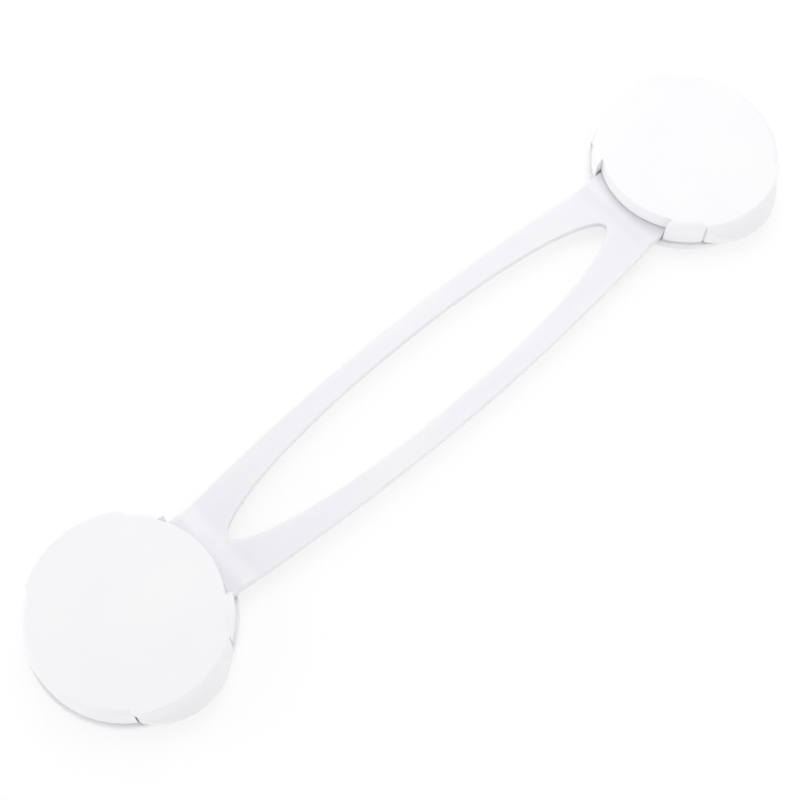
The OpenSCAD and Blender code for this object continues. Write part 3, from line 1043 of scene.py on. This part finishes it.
@dataclass
class FoamPad:
    """A die-cut disc of adhesive foam with a barrelled, slightly ragged edge."""

    end: End
    barrel: float = 0.00014
    ragged: float = 0.00008
    ragged_length: float = 0.0011
    sides: int = 240
    rings: int = 8

    def build(self) -> bpy.types.Object:
        """Grows the disc and ties it to its base.

        Returns:
            The finished pad.
        """
        node = f"adhesive_pad_{self.end.value}"
        low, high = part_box(node)
        half_width = (high.x - low.x) / 2
        grown = GrownPiece(f"foam_pad_{self.end.value}", PAD_FOAM)
        sheet = grown.sheet
        radius = grown.size("Radius", half_width)
        height = grown.size("Thickness", high.z - low.z)
        centre_x = grown.size("Centre", (low.x + high.x) / 2)
        barrel = grown.size("Barrel", self.barrel)
        ragged = grown.size("Ragged edge", self.ragged)
        disc = sheet.unit_rod(self.sides, self.rings)
        place = sheet.position()
        x, y, rise = sheet.split(place)
        tear = sheet.out(
            "ShaderNodeTexNoise",
            sockets={"Vector": place, "Scale": half_width / self.ragged_length, "Detail": 2.0},
        )
        bulge = 2.0 * rise
        edge = radius - barrel * bulge * bulge - ragged * sheet.clamp(tear)
        shape = sheet.moved(disc, sheet.vector(centre_x + x * edge, y * edge, (rise + 0.5) * height))
        piece = adopt(grown.grow(shape), node)
        return piece


@dataclass
class BasePlate:
    """The part of a head that stays on the furniture: base plate and adhesive pad."""

    end: End
    edge: float = 0.00015

    def build(self) -> None:
        """Makes the plate with its keepers, and the pad under it."""
        node = f"base_plate_{self.end.value}"
        adopt(Moulding(node, BASE_PLASTIC, self.edge).build(), node)
        FoamPad(self.end).build()


@dataclass
class LockHead:
    """The part of a head that snaps on: cap, retainer, screws, squeeze tabs and latch springs."""

    end: End
    cap_edge: float = 0.00016
    tab_edge: float = 0.00022
    inner_edge: float = 0.00010
    spring_eye_length: float = 0.0044
    spring_hook_length: float = 0.0021

    def build(self) -> None:
        """Makes every piece of the head."""
        self.build_moulding(f"cap_{self.end.value}", CAP_PLASTIC, self.cap_edge)
        self.build_moulding(f"retainer_plate_{self.end.value}", INNER_PLASTIC, self.inner_edge)
        ScrewSet(self.end).build()
        for side in Side:
            self.build_moulding(f"squeeze_tab_{self.end.value}_{side.value}", TAB_PLASTIC, self.tab_edge)
            self.build_spring(side)

    def build_moulding(self, node: str, finish: MouldedPlastic, edge: float) -> None:
        """Makes one rigid moulding that rides on its own body."""
        adopt(Moulding(node, finish, edge).build(), node)

    def build_spring(self, side: Side) -> None:
        """Makes a latch spring that is tied to no body.

        Args:
            side: The side of the head that the spring is on.
        """
        node = f"latch_spring_{self.end.value}_{side.value}"
        piece = Moulding(node, SPRING_PLASTIC, self.inner_edge).build()
        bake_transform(piece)
        adopt(piece, node, rides=False)


@dataclass(frozen=True)
class Lamp:
    """A soft round lamp that shines on the middle of the lock."""

    name: str
    place: Size3
    size: float
    watts: float
    sheen: bool = True

    def build(self) -> None:
        """Makes the lamp."""
        lamp = bpy.data.lights.new(self.name, "AREA")
        lamp.shape = "DISK"
        lamp.size = self.size
        lamp.energy = self.watts
        holder = bpy.data.objects.new(self.name, lamp)
        holder.location = self.place
        holder.visible_glossy = self.sheen
        holder.rotation_mode = "QUATERNION"
        holder.rotation_quaternion = (-Vector(self.place)).to_track_quat("-Z", "Y")
        bpy.context.scene.collection.objects.link(holder)


@dataclass
class Studio:
    """Pale floor, even white surroundings, soft lamps and the camera."""

    floor_half: float = 3.0
    floor_drop: float = 0.00002
    floor_colour: Colour = (0.94, 0.94, 0.94)
    floor_white_share: float = 0.72
    floor_white: float = 1.04
    sky_strength: float = 0.57
    horizon_lift: float = 1.15
    lamps: tuple[Lamp, ...] = (
        Lamp("key_lamp", (0.22, 0.15, 0.46), 0.36, 0.67),
        Lamp("fill_lamp", (-0.40, 0.37, 0.35), 0.30, 0.45, sheen=False),
    )
    focal_pixels: float = 1502.7
    image_pixels: float = 800.0
    sensor_mm: float = 36.0
    nearest: float = 0.01
    furthest: float = 20.0
    elevation: float = math.radians(65.126)
    azimuth: float = math.radians(-42.975)
    roll: float = math.radians(0.567)
    target: Size3 = (-0.007140, 0.000608, 0.0)
    distance: float = 0.32685

    def build(self) -> None:
        """Makes everything round the object."""
        bpy.context.scene.view_settings.view_transform = "Standard"
        self.build_floor()
        self.build_world()
        for lamp in self.lamps:
            lamp.build()
        self.build_camera()

    def seen(self, sheet: NodeSheet) -> Wire:
        """Tells rays that show the surroundings from rays that only light things.

        Args:
            sheet: The node sheet of the floor or of the surroundings.

        Returns:
            1 for rays that show the surroundings, and 0 for the others.
        """
        rays = sheet.node("ShaderNodeLightPath")
        camera, glossy, through = (
            Wire(sheet, rays.outputs[name])
            for name in ("Is Camera Ray", "Is Glossy Ray", "Is Transmission Ray")
        )
        return sheet.clamp(camera + glossy + through)

    def build_floor(self) -> None:
        """Makes a white floor that keeps a soft shadow."""
        reach = self.floor_half
        mesh = bpy.data.meshes.new("floor")
        corners = [(-reach, -reach), (reach, -reach), (reach, reach), (-reach, reach)]
        mesh.from_pydata([(x, y, -self.floor_drop) for x, y in corners], [], [(0, 1, 2, 3)])
        material = bpy.data.materials.new("floor_white")
        material.use_nodes = True
        material.node_tree.nodes.clear()
        sheet = NodeSheet(material.node_tree)
        matt = sheet.out("ShaderNodeBsdfDiffuse", sockets={"Color": (*self.floor_colour, 1.0)})
        white = sheet.out(
            "ShaderNodeEmission", sockets={"Color": (*WHITE, 1.0), "Strength": self.floor_white}
        )
        share = self.seen(sheet) * self.floor_white_share
        mixed = sheet.out("ShaderNodeMixShader", sockets={0: share, 1: matt, 2: white})
        sheet.node("ShaderNodeOutputMaterial", sockets={"Surface": mixed})
        add_piece("floor", mesh, material)

    def build_world(self) -> None:
        """Makes white surroundings: even to the eye, and as a light softer overhead than at the horizon."""
        world = bpy.data.worlds.new("white_room")
        world.use_nodes = True
        world.node_tree.nodes.clear()
        bpy.context.scene.world = world
        sheet = NodeSheet(world.node_tree)
        _, _, rise = sheet.split(sheet.out("ShaderNodeTexCoord", output="Generated"))
        low = 1.0 - sheet.clamp(rise)
        light = self.sky_strength + self.horizon_lift * low * low
        strength = light + (1.0 - light) * self.seen(sheet)
        white = sheet.out(
            "ShaderNodeBackground", sockets={"Color": (*WHITE, 1.0), "Strength": strength}
        )
        sheet.node("ShaderNodeOutputWorld", sockets={"Surface": white})

    def build_camera(self) -> None:
        """Makes the camera at the angle of the picture."""
        sin_a, cos_a = math.sin(self.azimuth), math.cos(self.azimuth)
        sin_e, cos_e = math.sin(self.elevation), math.cos(self.elevation)
        back = Vector((sin_a * cos_e, -cos_a * cos_e, sin_e))
        level = Vector((cos_a, sin_a, 0.0))
        rise = back.cross(level)
        right = level * math.cos(self.roll) + rise * math.sin(self.roll)
        up = rise * math.cos(self.roll) - level * math.sin(self.roll)
        data = bpy.data.cameras.new("camera")
        data.sensor_width = self.sensor_mm
        data.lens = self.sensor_mm * self.focal_pixels / self.image_pixels
        data.clip_start, data.clip_end = self.nearest, self.furthest
        camera = bpy.data.objects.new("camera", data)
        turn = Matrix((right, up, back)).transposed().to_4x4()
        camera.matrix_world = Matrix.Translation(Vector(self.target) + back * self.distance) @ turn
        bpy.context.scene.collection.objects.link(camera)
        bpy.context.scene.camera = camera


def main() -> None:
    """Builds the lock and its studio."""
    logging.basicConfig(level=logging.INFO, format="%(name)s: %(message)s")
    Studio().build()
    Strap().build()
    for end in End:
        BasePlate(end).build()
        LockHead(end).build()


if __name__ == "__main__":
    main()
